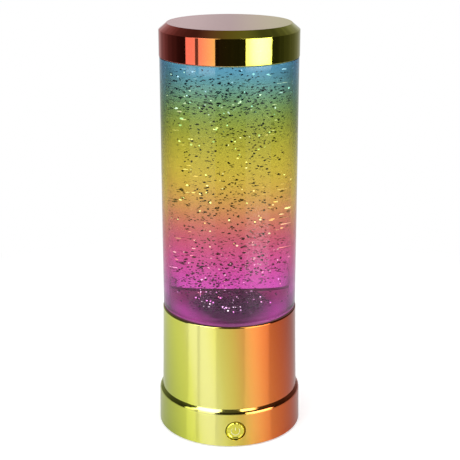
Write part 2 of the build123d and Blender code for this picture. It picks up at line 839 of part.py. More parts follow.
def power_button():
    """Round push button: bevelled rim, raised standby symbol, two ears behind the ring wall."""
    stem = rod_in(button_r, button_y, button_back_y, 0, button_z)
    stem = chamfer(stem.faces().sort_by(Axis.Y)[0].edges(), button_bevel)
    ears = rod_in(button_ear_r, button_back_y - button_ear, button_back_y, 0, button_z)
    ears &= block((-button_ear_r, button_ear_r), (button_y, 0),
                  (button_z - button_ear_half, button_z + button_ear_half))
    arc = Circle(symbol_r) - Circle(symbol_r - symbol_line)
    side = symbol_r * 2 * sin(radians(symbol_gap_deg / 2))
    reach = symbol_r * 2 * cos(radians(symbol_gap_deg / 2))
    gap = make_face(Polyline((0, 0), (side, reach), (-side, reach), close=True))
    bar = Pos(0, symbol_r * 3 / 4) * Rectangle(symbol_line, symbol_r)
    symbol = extrude(arc - gap, symbol_relief) + extrude(bar, symbol_relief)
    front = Plane(origin=(0, button_y, button_z), x_dir=(1, 0, 0), z_dir=(0, -1, 0))
    return stem + ears + front * symbol


def switch_plunger():
    return rod_in(plunger_r, button_back_y, switch_y + plunger_in, 0, button_z)


def push_switch():
    """Latching switch body, bored for its plunger."""
    half = switch_width / 2
    body = block((-half, half), (switch_y, control_y), (button_z - half, button_z + half))
    body = chamfer(body.faces().sort_by(Axis.Y)[0].edges(), edge_round)
    bore_end = switch_y + plunger_in + button_travel + loose_fit
    return body - rod_in(plunger_r + running_fit, switch_y - cut_overrun, bore_end, 0, button_z)


def control_board():
    half = control_width / 2
    return block((-half, half), (control_y, control_y + board_thick),
                 (plate_top_z + loose_fit, plate_top_z + control_height))


def board_components():
    """Driver chip and capacitor soldered on the back of the control board."""
    back = control_y + board_thick
    middle_z = plate_top_z + control_height / 2
    chip = block((part_offset - chip_width / 2, part_offset + chip_width / 2), (back, back + chip_thick),
                 (middle_z - chip_height / 2, middle_z + chip_height / 2))
    can = rod_in(can_r, back, back + can_length, -part_offset, middle_z)
    return [chip, can]


def lead(*points):
    """A soldered lead: straight runs joined by the widest tangent arcs that they allow."""
    spots = [Vector(*point) for point in points]
    runs = [after - before for before, after in zip(spots, spots[1:])]
    bends = []
    for before, after in zip(runs, runs[1:]):
        turn = radians(before.get_angle(after))
        bends.append(lead_bend_share * min(before.length, after.length) / tan(turn / 2))
    route = FilletPolyline(*spots, radius=bends)
    section = Plane(origin=spots[0], z_dir=runs[0]) * RegularPolygon(lead_r, lead_sides)
    return sweep(section, path=route)


def leads(side):
    """The three leads of one colour, on one side of the lamp: from battery, motor and light board."""
    board_y = control_y + board_thick / 2
    board_z = plate_top_z + control_height
    tail_y = box_back_shift + cell_pitch * side
    tail_x = side * (box_x - contact_metal / 2)
    tail_z = box_top_z + contact_tail
    arch_z = tail_z + lead_rise
    battery_lead = lead((tail_x, tail_y, tail_z), (tail_x, tail_y, arch_z),
                        (side * battery_lead_x, board_y, arch_z), (side * battery_lead_x, board_y, board_z))
    motor_x = side * motor_lead_x
    motor_lead = lead((motor_x, board_y, board_z), (motor_x, board_y, board_z + lead_rise * 2),
                      (motor_x, -motor_lead_y, motor_z - lead_rise), (motor_x, -motor_lead_y, motor_z))
    led_x = side * led_lead_x
    middle_z = (board_z + led_board_z) / 2
    led_lead = lead((led_x, board_y, board_z), (led_x, board_y, middle_z - lead_rise),
                    (led_x, -led_lead_y, middle_z + lead_rise), (led_x, -led_lead_y, led_board_z))
    return [battery_lead, motor_lead, led_lead]


os.makedirs("parts", exist_ok=True)

flake_pieces = flakes()
heap = settled_glitter()

save("top_cap", top_cap())
save("tank", tank())
save("tank_plug", tank_plug())
save("plug_seal", plug_seal())
save("filler_bung", filler_bung())
save("tank_gasket", tank_gasket())
save("glitter_flakes", group(flake_pieces))
save("settled_glitter", heap)
save("liquid", liquid(flake_pieces, heap))
save("pivot_pin", pivot_pin())
save("impeller", impeller())
save("impeller_magnets", group(impeller_magnets()))

save("base_housing", base_housing())
save("base_ring", base_ring())
save("motor_deck", motor_deck())
save("motor", motor())
save("motor_shaft", motor_shaft())
save("drive_rotor", drive_rotor())
save("drive_magnets", group(drive_magnets()))
save("led_board", led_board())
save("leds", group(leds()))

save("base_plate", base_plate())
save("battery_door", battery_door())
save("foot_ring", foot_ring())
for number in range(cell_count):
    save(f"battery_{number + 1}", battery(number))
save("battery_contacts", group(battery_contacts()))

save("power_button", power_button())
save("switch_plunger", switch_plunger())
save("push_switch", push_switch())
save("control_board", control_board())
save("board_components", group(board_components()))
save("red_leads", group(leads(1)))
save("black_leads", group(leads(-1)))

sunk_z = plate_z + counterbore
save("plate_screws", group(screw(x, y, sunk_z, screw_bite, False) for x, y in post_places))
save("door_screws", group(screw(x, y, sunk_z, screw_bite, False) for x, y in ear_places))
save("tank_screws", group(screw(x, y, shelf_under_z, screw_bite, False)
                          for x, y in around(tank_screw_ring_r, spread(3))))
save("deck_screws", group(screw(x, y, deck_z, screw_bite - deck_thick / 2)
                          for x, y in around(deck_screw_ring_r, spread(3, 60))))
save("motor_screws", group(small_screw(x, y, deck_z, motor_screw_length - head_room)
                           for x, y in around(motor_screw_ring_r, spread(2))))
small_bite = board_thick + post_height - head_room
save("board_screws", group(small_screw(x, y, led_board_z + board_thick, small_bite)
                           for x, y in around(post_ring_r, spread(3))))
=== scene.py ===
from math import cos, pi, radians, sin

import bmesh
import bpy
import numpy as np
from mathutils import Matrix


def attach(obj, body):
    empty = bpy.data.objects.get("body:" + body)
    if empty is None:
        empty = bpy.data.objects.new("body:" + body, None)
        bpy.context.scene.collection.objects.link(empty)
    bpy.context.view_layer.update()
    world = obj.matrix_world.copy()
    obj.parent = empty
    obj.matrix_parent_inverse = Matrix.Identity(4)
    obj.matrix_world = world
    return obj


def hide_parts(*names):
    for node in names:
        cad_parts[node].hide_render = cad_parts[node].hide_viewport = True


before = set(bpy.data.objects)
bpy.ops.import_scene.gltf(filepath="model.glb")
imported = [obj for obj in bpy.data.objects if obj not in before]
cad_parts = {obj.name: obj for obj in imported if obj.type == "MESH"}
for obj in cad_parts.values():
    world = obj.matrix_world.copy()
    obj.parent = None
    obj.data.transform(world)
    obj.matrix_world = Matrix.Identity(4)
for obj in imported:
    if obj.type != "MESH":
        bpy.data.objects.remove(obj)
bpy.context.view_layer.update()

# The camera stands where the photographer's stood: 654 mm from the lamp's axis and 332 mm above the table,
# a little to the left of the push button, looking down by nearly 18 degrees.
scene = bpy.context.scene
camera_turn = radians(4.84)
camera_reach = 0.65429
camera_height = 0.332
camera_pitch = radians(17.79)
aim_turn = radians(0.032)
to_camera = np.array([-sin(camera_turn), -cos(camera_turn)])
to_wall = -to_camera
to_right = np.array([cos(camera_turn), -sin(camera_turn)])
lens = bpy.data.cameras.new("lens")
lens.sensor_width = 36
lens.lens = 89.79
lens.clip_start = 0.01
camera = bpy.data.objects.new("camera", lens)
camera.location = (to_camera[0] * camera_reach, to_camera[1] * camera_reach, camera_height)
camera.rotation_euler = (pi / 2 - camera_pitch, 0, -camera_turn - aim_turn)
scene.collection.objects.link(camera)
scene.camera = camera
scene.view_settings.view_transform = "Standard"
scene.cycles.use_denoising = True
scene.cycles.max_bounces = 24
scene.cycles.transmission_bounces = 24
scene.cycles.glossy_bounces = 10


# The studio: a pale table top, a white wall behind it that fades into a dim room, and two tall soft panels,
# the left one in two leaves. Metal sees the room by direction; the view and the glass see a white background.
class Value:
    """A socket of a node tree. Sums, products and powers of values add Math nodes."""

    def __init__(self, finish, socket):
        self.finish = finish
        self.socket = socket

    def math(self, operation, first, second=0.0):
        """One Math node."""
        return self.finish.node("ShaderNodeMath", {"operation": operation}, [first, second])

    def __add__(self, other):
        return self.math("ADD", self, other)

    def __radd__(self, other):
        return self.math("ADD", other, self)

    def __sub__(self, other):
        return self.math("SUBTRACT", self, other)

    def __rsub__(self, other):
        return self.math("SUBTRACT", other, self)

    def __mul__(self, other):
        return self.math("MULTIPLY", self, other)

    def __rmul__(self, other):
        return self.math("MULTIPLY", other, self)

    def __truediv__(self, other):
        return self.math("DIVIDE", self, other)

    def __rtruediv__(self, other):
        return self.math("DIVIDE", other, self)

    def __pow__(self, other):
        return self.math("POWER", self, other)

    def __abs__(self):
        return self.math("ABSOLUTE", self)

    def most(self, other):
        """The larger of the two."""
        return self.math("MAXIMUM", self, other)

    def above(self, other):
        """1 where this is more than the other, and 0 elsewhere."""
        return self.math("GREATER_THAN", self, other)

    def below(self, other):
        """1 where this is less than the other, and 0 elsewhere."""
        return self.math("LESS_THAN", self, other)

    def waves(self):
        """The sine of an angle in radians."""
        return self.math("SINE", self)


class Finish:
    """The node tree of a material or of the world, with its output node."""

    def __init__(self, name, owner=None):
        self.owner = owner or bpy.data.materials.new(name)
        self.owner.use_nodes = True
        self.tree = self.owner.node_tree
        self.tree.nodes.clear()

    def node(self, kind, settings=None, sockets=None, output=0):
        """Adds a node: its settings first, ramp stops among them, then its sockets by place or by name."""
        made = self.tree.nodes.new(kind)
        for key, value in (settings or {}).items():
            if key == "stops":
                ramp = made.color_ramp
                while len(ramp.elements) > 1:
                    ramp.elements.remove(ramp.elements[0])
                for number, (place, colour) in enumerate(value):
                    stop = ramp.elements[0] if number == 0 else ramp.elements.new(place)
                    stop.position = place
                    stop.color = (*colour, 1)
            elif key == "blend":
                made.color_ramp.interpolation = value
            else:
                setattr(made, key, value)
        pairs = enumerate(sockets) if isinstance(sockets, list) else (sockets or {}).items()
        for key, value in pairs:
            if isinstance(value, Value):
                self.tree.links.new(value.socket, made.inputs[key])
            else:
                made.inputs[key].default_value = value
        return Value(self, made.outputs[output])

    def mix(self, share, first, second, blend="MIX"):
        """Blends two colours by a share from 0 to 1."""
        places = {0: share, 6: (*first, 1) if isinstance(first, tuple) else first,
                  7: (*second, 1) if isinstance(second, tuple) else second}
        return self.node("ShaderNodeMix", {"data_type": "RGBA", "blend_type": blend}, places, 2)

    def over(self, first, second):
        """Two tints, one seen through the other: their product."""
        return self.mix(1.0, first, second, "MULTIPLY")

    def brighter(self, first, second):
        """The larger of two colours, channel by channel."""
        return self.node("ShaderNodeVectorMath", {"operation": "MAXIMUM"}, [first, second])

    def tint(self, colour, share):
        """Multiplies a colour by a value, the same in each channel."""
        return self.node("ShaderNodeVectorMath", {"operation": "SCALE"}, {0: colour, "Scale": share})

    def ramp(self, share, stops, blend="LINEAR"):
        """The colour at a share from 0 to 1, between stops of (share, colour)."""
        return self.node("ShaderNodeValToRGB", {"stops": stops, "blend": blend}, [share])

    def fade(self, share, start, end):
        """0 up to the start, 1 from the end on, and an even rise between them."""
        return self.ramp(share, [(start, grey(0.0)), (end, grey(1.0))])

    def spot(self):
        """Object coordinates as one vector, in metres."""
        return self.node("ShaderNodeTexCoord", output="Object")

    def place(self):
        """Object coordinates as three values, in metres."""
        spot = self.spot()
        return [self.node("ShaderNodeSeparateXYZ", sockets=[spot], output=axis) for axis in range(3)]

    def along(self, spot, way):
        """How far a spot lies along a level way: x times its first part plus y times its second."""
        return self.node("ShaderNodeVectorMath", {"operation": "DOT_PRODUCT"}, [spot, (*way, 0)], "Value")

    def ray(self, kind):
        """1 for rays of a kind, and 0 for the others."""
        return self.node("ShaderNodeLightPath", output=f"Is {kind} Ray")

    def grain(self, scale, detail=2.0, stretch=(1, 1, 1), rough=0.5):
        """Noise on Object coordinates, scale in patches per metre."""
        spot = self.node("ShaderNodeMapping", sockets={"Vector": self.spot(), "Scale": stretch})
        return self.node("ShaderNodeTexNoise", sockets={"Vector": spot, "Scale": scale, "Detail": detail,
                                                        "Roughness": rough})

    def bump(self, height, strength, distance):
        """A relief of the given height, its full depth in metres."""
        return self.node("ShaderNodeBump", sockets={"Height": height, "Strength": strength,
                                                    "Distance": distance})

    def surface(self, **sockets):
        """Ends the tree with a Principled shader, its sockets named with _ for a space."""
        named = {key.replace("_", " "): value for key, value in sockets.items()}
        for key, value in named.items():
            if isinstance(value, tuple):
                named[key] = (*value, 1)
        self.end(self.node("ShaderNodeBsdfPrincipled", sockets=named))
        return self.owner

    def end(self, shader, output="ShaderNodeOutputMaterial"):
        """Joins the last shader to the tree's output."""
        self.tree.links.new(shader.socket, self.tree.nodes.new(output).inputs[0])


def grey(level):
    """A colour of three equal parts."""
    return (level, level, level)


# Metal sees a dim wall with faint upright streaks, brightest straight behind the lamp, and a grey ceiling.
# Matt faces get an even light, the glass sees the wall fade at its sides, and the camera sees plain white.
room = Finish("room", bpy.data.worlds.new("room"))
scene.world = room.owner
room_way = room.node("ShaderNodeTexCoord", output="Generated")
room_back = room.along(room_way, to_wall) * 0.5 + 0.5
room_up = room.node("ShaderNodeSeparateXYZ", sockets=[room_way], output=2)
wall_stops = [
    (0.0, grey(0.016)), (0.42, grey(0.022)), (0.55, grey(0.045)), (0.70, grey(0.09)), (0.84, grey(0.20)),
    (0.93, grey(0.34)), (0.98, grey(0.52)), (1.0, grey(0.72))]
ceiling_stops = [(0.42, grey(0.0)), (0.70, grey(0.07)), (0.88, grey(0.07)), (0.97, grey(0.15))]
far_stops = [(0.5, grey(0.50)), (0.82, grey(0.52)), (0.90, grey(0.60)), (0.955, grey(0.80)),
             (0.985, grey(1.0))]
ambient_light = 0.74
streaks = room.grain(7, 3.0, (1, 1, 0.04), 0.7)
wall_light = room.tint(room.ramp(room_back, wall_stops), 0.2 + streaks * 1.6)
mirrored_light = room.brighter(wall_light, room.ramp(room_up, ceiling_stops))
matt_inside = room.node("ShaderNodeLightPath", output="Diffuse Depth").above(0.5)
far_light = room.mix(matt_inside, room.ramp(room_back, far_stops), grey(1.0))
room_light = room.mix(room.ray("Glossy"), grey(ambient_light), mirrored_light)
room_light = room.mix(room.ray("Transmission"), room_light, far_light)
room_light = room.mix(room.ray("Camera"), room_light, grey(1.0))
room.end(room.node("ShaderNodeBackground", sockets={"Color": room_light}), "ShaderNodeOutputWorld")


def sheet_of(name, points, closed=(False, False)):
    """A grid of points [i, j] made a mesh: each face joins i and i + 1 with j and j + 1. A closed way
    joins up, its last row with its first."""
    rows, columns = points.shape[:2]
    i = np.arange(rows if closed[0] else rows - 1)[:, None]
    j = np.arange(columns if closed[1] else columns - 1)[None, :]
    after_i, after_j = (i + 1) % rows, (j + 1) % columns
    faces = np.stack([i * columns + j, after_i * columns + j, after_i * columns + after_j,
                      i * columns + after_j], -1)
    mesh = bpy.data.meshes.new(name)
    mesh.from_pydata(points.reshape(-1, 3), [], faces.reshape(-1, 4).tolist())
    return mesh


def put(name, mesh, material):
    """An object of a mesh, at the origin, with its finish."""
    thing = bpy.data.objects.new(name, mesh)
    scene.collection.objects.link(thing)
    mesh.materials.clear()
    mesh.materials.append(material)
    return thing


panel_foot, left_split, right_split, panel_top = 0.045, 0.60, 0.50, 2.0
left_start, seam_start, seam_end, right_start = -22.3, -49.8, -55.4, 25.8
coarse_waves, fine_waves = 173, 390
panel_columns, panel_rows = 25, 121


def panel(name, start, end, low, high, levels, glow=0.0, ragged=0.0):
    """A soft panel bent round the table, one metre away, from a start to an end in degrees right of the
    camera. Its far edge strays by ragged degrees times the sum of two sines of the height. Levels are stops
    of (height, brightness). Across, the brightness is times 1 + glow (1 - the square of the way from the
    middle as a share of half the width)."""
    across = np.linspace(0, 1, panel_columns)[:, None]
    up = np.linspace(0, 1, panel_rows)[None, :]
    edge = end + ragged * (np.sin(up * fine_waves) + np.sin(up * coarse_waves + 1)) * np.sign(end)
    turn = np.radians(start + (edge - start) * across)
    way = np.cos(turn)[..., None] * to_camera + np.sin(turn)[..., None] * to_right
    height = np.broadcast_to(low + (high - low) * up, turn.shape)
    mesh = sheet_of(name, np.concatenate([way, height[..., None]], -1))
    light = Finish(name + "_light")
    spot = light.spot()
    raised = light.node("ShaderNodeSeparateXYZ", sockets=[spot], output=2)
    through = light.ray("Transmission")
    middle = sin(radians((start + end) / 2))
    half_width = abs(sin(radians(end)) - sin(radians(start))) / 2
    bell = 1 - ((light.along(spot, to_right) - middle) / half_width) ** 2
    level = light.ramp(raised / panel_top, [(place / panel_top, grey(share)) for place, share in levels])
    strength = light.tint(level, (1 + glow * bell.most(0.0)) * (1 - through))
    strength = light.mix(through, strength, grey(1.0))
    light.end(light.node("ShaderNodeEmission", sockets={"Color": strength}))
    stand = put(name, mesh, light.owner)
    stand.visible_camera = False


leaf_levels = [(0.047, 0.0), (0.058, 3.5), (0.063, 1.45), (0.14, 1.45), (0.30, 1.5), (left_split, 1.5)]
seam_levels = [(0.054, 0.3), (0.064, 0.2), (0.12, 0.2), (0.14, 1.1), (0.24, 1.1), (0.28, 0.1),
               (left_split, 0.1)]
panel("left_leaf", left_start, seam_start, panel_foot, left_split, leaf_levels, glow=0.06)
panel("left_seam", seam_start, seam_end, panel_foot, left_split, seam_levels)
panel("left_edge_leaf", seam_end, -73, panel_foot, left_split, leaf_levels)
panel("left_top", -19.5, -68, left_split, panel_top, [(left_split, 1.5), (0.66, 3.2)])
panel("right_panel", right_start, 70, panel_foot, right_split,
      [(0.058, 0.3), (0.064, 3.6), (0.12, 3.8), (0.14, 6.5), (0.23, 6.5), (0.26, 1.4), (right_split, 1.2)],
      glow=0.9, ragged=1.1)
panel("right_top", right_start, 64, right_split, panel_top,
      [(right_split, 1.0), (0.54, 0.03), (1.32, 0.03), (1.40, 4.0)], glow=0.2)

# The table top is a round sheet, its rows laid backwards so that its faces point up. The camera and the glass
# see it matt, with the lamp's shadow near the lamp, and plain white further off.
table_r, table_ways, table_rings = 1.2, 96, 9
shadow_r, white_r = 0.10, 0.36
ring = np.linspace(0, 2 * pi, table_ways, endpoint=False)[:, None]
out = (np.linspace(0, 1, table_rings) * table_r)[None, :]
table_points = np.stack([np.cos(ring) * out, np.sin(ring) * out, np.zeros((table_ways, table_rings))], -1)
table_finish = Finish("table_white")
table_spot = table_finish.spot()
table_far = table_finish.node("ShaderNodeVectorMath", {"operation": "LENGTH"}, [table_spot], "Value")
table_through = table_finish.ray("Transmission")
table_back = table_finish.along(table_spot, to_wall)
back_share = table_back / table_far * 0.5 + 0.5
side_share = table_finish.along(table_spot, to_right) / table_far * 0.5 + 0.5
table_near = table_finish.ramp(table_far, [(shadow_r, grey(0.84)), (white_r, grey(0.0))])
table_fill = table_finish.ramp(table_far, [(shadow_r, grey(0.43)), (white_r, grey(1.0))])
table_turn = table_finish.fade(table_far / table_r, 0.66, 0.95) * table_through
table_fill = table_finish.mix(table_turn, table_fill, table_finish.ramp(back_share, far_stops))
table_fill = table_finish.node("ShaderNodeEmission", sockets={"Color": table_fill})
table_plain = table_finish.node("ShaderNodeBsdfDiffuse", sockets={"Color": table_near})
table_plain = table_finish.node("ShaderNodeAddShader", sockets=[table_plain, table_fill])

# Metal sees it glossy near the lamp. Further off, for reflections only, it glows with a painted reflection:
# the room's darkness, and the panels' feet in front.
panel_feet_stops = [(0.0, grey(0.0)), (0.0365, grey(0.5)), (0.305, grey(0.0)), (0.7175, grey(0.35)),
             (0.97, grey(0.0))]
table_painted_feet = table_finish.ramp(side_share, panel_feet_stops, "CONSTANT")
table_painted_feet = table_finish.tint(table_painted_feet, table_back.below(0.0))
table_painted_room = table_finish.brighter(table_finish.ramp(back_share, wall_stops), table_painted_feet)
table_painted_room = table_finish.node("ShaderNodeEmission", sockets={"Color": table_painted_room})
table_away = table_finish.fade(table_far, 0.24, 0.60)
table_shine = table_finish.node("ShaderNodeBsdfPrincipled", sockets={
    "Base Color": (0.84, 0.84, 0.84, 1), "Roughness": 0.06, "IOR": 1.5})
table_shine = table_finish.node("ShaderNodeMixShader", sockets=[table_away, table_shine, table_painted_room])
table_seen = table_finish.ray("Camera").most(table_through)
table_upper = table_finish.node("ShaderNodeMixShader", sockets=[table_seen, table_shine, table_plain])

# Only its upper side is there: from below one looks through it at the lamp's underside, and a lit round,
# wholly inside the lamp's foot, lights that underside.
round_r, round_edge_r = 0.034, 0.037
table_round = table_finish.ramp(table_far, [(round_r, grey(1.0)), (round_edge_r, grey(0.0))])
table_round = table_finish.node("ShaderNodeEmission", sockets={"Color": table_round, "Strength": 1.0})
table_upper = table_finish.node("ShaderNodeAddShader", sockets=[table_upper, table_round])
table_lower = table_finish.node("ShaderNodeBsdfTransparent")
table_below = table_finish.node("ShaderNodeNewGeometry", output="Backfacing")
table_finish.end(table_finish.node("ShaderNodeMixShader", sockets=[table_below, table_upper, table_lower]))
table = put("table", sheet_of("table", table_points[::-1], (True, False)), table_finish.owner)


# The bottom plate with its battery box, the door and the foot ring: black plastic mouldings and soft rubber.
# The plate is screwed up into the base, and the ring is glued into its groove. All are the part's own solids.
def dress(material, *nodes):
    """Gives the part's own solids a finish."""
    for name in nodes:
        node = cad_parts[name]
        node.data.materials.clear()
        node.data.materials.append(material)


def moulded(name, colour, shine=0.42, speck=0.12, scale=900):
    """Moulded plastic: a fine spark-eroded texture in its relief and gloss, and slight flow marks in its
    colour, which runs from colour times 1 - speck to colour times 1 + speck."""
    finish = Finish(name)
    fine = finish.grain(scale, 3.0)
    flow = finish.grain(scale / 30, 2.0, (1, 1, 0.4))
    dark = tuple(level * (1 - speck) for level in colour)
    bright = tuple(min(1, level * (1 + speck)) for level in colour)
    return finish.surface(Base_Color=finish.mix(flow, dark, bright), Roughness=shine + (fine - 0.5) * 0.2,
                          Normal=finish.bump(fine, 0.25, 0.00006))


black_plastic = moulded("black_plastic", (0.018, 0.018, 0.020))
rubber = moulded("rubber", (0.022, 0.022, 0.022), 0.75, 0.2, 1500)
dress(black_plastic, "base_plate", "battery_door")
dress(rubber, "foot_ring")


# Three cells in printed jackets, and their bowed spring contacts. They lie side by side in the box,
# each turned end for end from the next, and the contacts' tails pass through its roof.
def sleeve(name, colour, metal_colour, split):
    """A cell's printed jacket: its colour over most of the length, and bare metal where the way along X from
    the middle is more than the split, in metres."""
    finish = Finish(name)
    bare = abs(finish.place()[0]).above(split)
    fine = finish.grain(500, 2.0, (1, 8, 8))
    shade = finish.mix(fine, tuple(level * 0.8 for level in colour), colour)
    return finish.surface(Base_Color=finish.mix(bare, shade, metal_colour), Metallic=bare * 0.95,
                          Roughness=0.3 + fine * 0.15)


def plated(name, colour, shine=0.25, scale=700, stretch=(1, 1, 1)):
    """Plated or drawn metal: faint draw marks in its gloss, and slight clouding in its colour."""
    finish = Finish(name)
    marks = finish.grain(scale, 3.0, stretch)
    dull = tuple(level * 0.78 for level in colour)
    return finish.surface(Base_Color=finish.mix(finish.grain(60), dull, colour), Metallic=1.0,
                          Roughness=shine + (marks - 0.5) * 0.22, Normal=finish.bump(marks, 0.12, 0.00004))


cell_jacket = sleeve("cell_jacket", (0.05, 0.10, 0.16), (0.62, 0.60, 0.56), 0.0226)
contact_metal = plated("contact_metal", (0.74, 0.71, 0.64), 0.28)
steel = plated("steel", (0.60, 0.60, 0.61), 0.3)
dress(cell_jacket, "battery_1", "battery_2", "battery_3")
dress(contact_metal, "battery_contacts")


# The latching switch, its plunger, the control board with its parts, and the soldered leads.
# The board stands in two slotted posts of the bottom plate, with the switch behind the button.
def board(name, mask, silk):
    """A circuit board: solder mask, with paler copper runs under it where the product of two sines, one of x
    and one of y + z, is above 0.35."""
    finish = Finish(name)
    x, y, z = finish.place()
    runs = ((x * 1900).waves() * ((y + z) * 1500).waves()).above(0.35)
    fine = finish.grain(1200)
    return finish.surface(Base_Color=finish.mix(runs, mask, silk), Roughness=0.34 + fine * 0.12,
                          Normal=finish.bump(runs, 0.3, 0.00005))


pale_plastic = moulded("pale_plastic", (0.50, 0.50, 0.48), 0.38, 0.06)
component_black = moulded("component_black", (0.03, 0.03, 0.032), 0.45)
circuit_board = board("circuit_board", (0.02, 0.13, 0.05), (0.05, 0.22, 0.09))
dress(circuit_board, "control_board", "led_board")
dress(component_black, "board_components", "push_switch")
dress(pale_plastic, "switch_plunger")
dress(moulded("red_insulation", (0.55, 0.02, 0.02), 0.4, 0.15, 1400), "red_leads")
dress(moulded("black_insulation", (0.02, 0.02, 0.02), 0.4, 0.15, 1400), "black_leads")


# The skirt ring: vacuum-metallised plastic under a tinted lacquer that fades from lime on the left to brick
# red on the right. It is clamped between the body's flange and the bottom plate, and is bored for the button.
mm = 0.001
flat_edge = 0.03


def rounded(corners, steps=7):
    """A closed outline in millimetres as complex numbers, radius + height j. A corner (radius, height, round)
    becomes an arc that touches both its sides: centre + (touch - centre) turned by equal shares of the bend.
    One more point on each side, close by, keeps the flat sides' shading flat."""
    spots = np.array([complex(corner[0], corner[1]) for corner in corners])
    rounds = [corner[2] if len(corner) > 2 else 0 for corner in corners]
    pieces = []
    for spot, before, after, bend_r in zip(spots, np.roll(spots, 1), np.roll(spots, -1), rounds):
        if not bend_r:
            pieces.append(np.array([spot]))
            continue
        back = (before - spot) / abs(before - spot)
        on = (after - spot) / abs(after - spot)
        half = abs(np.angle(on / back)) / 2
        centre = spot + (back + on) / abs(back + on) * bend_r / sin(half)
        touch = spot + back * bend_r / np.tan(half)
        bend = (pi - 2 * half) * -np.sign(np.angle(on / back))
        pieces.append(np.array([touch + back * flat_edge]))
        pieces.append(centre + (touch - centre) * np.exp(1j * bend * np.linspace(0, 1, steps)))
        pieces.append(np.array([spot + on * (abs(touch - spot) + flat_edge)]))
    return np.concatenate(pieces) * mm


def turned_mesh(name, outline, count=256):
    """An outline turned about Z: its point (r, h) at angle a lies at (r cos a, r sin a, h). Points that
    coincide at a pole are merged."""
    angle = np.linspace(0, 2 * pi, count, endpoint=False)[:, None]
    r, h = outline.real[None, :], outline.imag[None, :]
    points = np.stack([np.cos(angle) * r, np.sin(angle) * r, np.broadcast_to(h, (count, h.shape[1]))], -1)
    mesh = sheet_of(name, points, (True, True))
    shell = bmesh.new()
    shell.from_mesh(mesh)
    bmesh.ops.remove_doubles(shell, verts=shell.verts, dist=1e-7)
    shell.to_mesh(mesh)
    shell.free()
    return mesh


def finish_piece(name, mesh, material, body, slot, *nodes, crease=28):
    """Puts a made piece in the scene: smooth but for creases over the given degrees, riding its body and
    standing for the nodes that it replaces."""
    mesh.shade_smooth()
    mesh.set_sharp_from_angle(angle=radians(crease))
    made = put(name, mesh, material)
    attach(made, body)
    if nodes:
        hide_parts(*nodes)
    return made


def metallised(name, stops, shine, ripple, half_width, coat, slant=0.0, lid=None):
    """Vacuum-metallised plastic under tinted lacquer. Its colour fades from side to side, along the line
    that runs square to the camera's first view, and the fade shifts by slant times the height above 60 mm.
    A slight ripple and fine dust show in the gloss. A lid is a height above which the finish is satin, the
    stops of its paler fade, and what it adds to the roughness."""
    finish = Finish(name)
    spot = finish.spot()
    side = finish.along(spot, to_right) / (2 * half_width) + 0.5
    height = finish.node("ShaderNodeSeparateXYZ", sockets=[spot], output=2)
    drift = (finish.grain(9, 1.0) - 0.5) * 0.03 + (height - 0.060) * slant
    dust = finish.grain(2600, 2.0)
    colour = finish.mix(dust.above(0.66) * 0.10, finish.ramp(side + drift, stops, "B_SPLINE"), grey(0.75))
    roughness = shine + (dust - 0.5) * 0.05
    if lid:
        lid_height, lid_stops, lid_rough = lid
        flat = height.above(lid_height)
        colour = finish.mix(flat, colour, finish.ramp(side, lid_stops))
        roughness = roughness + flat * lid_rough
        coat = coat * (1 - flat)
    swell = finish.grain(55, 1.0, (1, 1, 0.35))
    return finish.surface(Base_Color=colour, Metallic=1.0, Roughness=roughness, Coat_Weight=coat,
                          Coat_Roughness=0.05, Coat_IOR=1.45, Normal=finish.bump(swell, 0.5, ripple))


# From 0.25 to 0.40 the stops are paler and bluer: a painted highlight that whitens the left panel's
# reflection there.
base_tints_and_highlight = [
    (0.0, (0.44, 0.50, 0.09)), (0.12, (0.74, 0.80, 0.11)), (0.20, (0.82, 0.84, 0.13)),
    (0.25, (0.92, 0.90, 0.30)), (0.34, (0.92, 0.90, 0.32)), (0.40, (0.90, 0.86, 0.20)),
    (0.44, (0.84, 0.76, 0.15)), (0.52, (0.80, 0.60, 0.10)), (0.60, (0.86, 0.42, 0.09)),
    (0.70, (0.87, 0.25, 0.055)), (0.80, (0.70, 0.14, 0.030)), (0.90, (0.48, 0.075, 0.022)),
    (1.0, (0.24, 0.03, 0.015))]
base_finish = metallised("metallised_base", base_tints_and_highlight, shine=0.10, ripple=0.00007, half_width=0.0435,
                         coat=0.12, slant=1.4)
ring_foot_r, ring_top_r, ring_shoulder = 43.497, 43.147, 3.2
shoulder_r, flange_r = 41.347, 38.847
ring_z, ring_top_z, body_z = 0.8, 21.95, 23.8
shell_wall, lip_depth = 2.2, 2.0
rib_low, rib_high, rib_width = 4.2, 6.2, 1.3
ring_outline = [
    (ring_foot_r - shell_wall, ring_z), (ring_foot_r, ring_z, 0.3), (ring_top_r, ring_top_z, ring_shoulder),
    (shoulder_r, body_z), (flange_r, body_z), (flange_r, body_z - lip_depth),
    (ring_top_r - shell_wall, body_z - lip_depth), (ring_foot_r - shell_wall, rib_high),
    (ring_foot_r - shell_wall - rib_width, rib_high), (ring_foot_r - shell_wall - rib_width, rib_low),
    (ring_foot_r - shell_wall, rib_low)]
button_z, bore_r, bore_from, bore_length = 10.75, 6.1, -32, 20
ring_mesh = turned_mesh("skirt_ring", rounded(ring_outline), 320)


def laid(mesh, depth, height):
    """Lays a turned mesh down: (x, y, z) becomes (x, depth - z, height + y), both given in millimetres."""
    points = np.empty(len(mesh.vertices) * 3)
    mesh.vertices.foreach_get("co", points)
    points = points.reshape(-1, 3)
    moved = np.stack([points[:, 0], depth * mm - points[:, 2], height * mm + points[:, 1]], -1)
    mesh.vertices.foreach_set("co", moved.ravel())
    mesh.update()
    return mesh


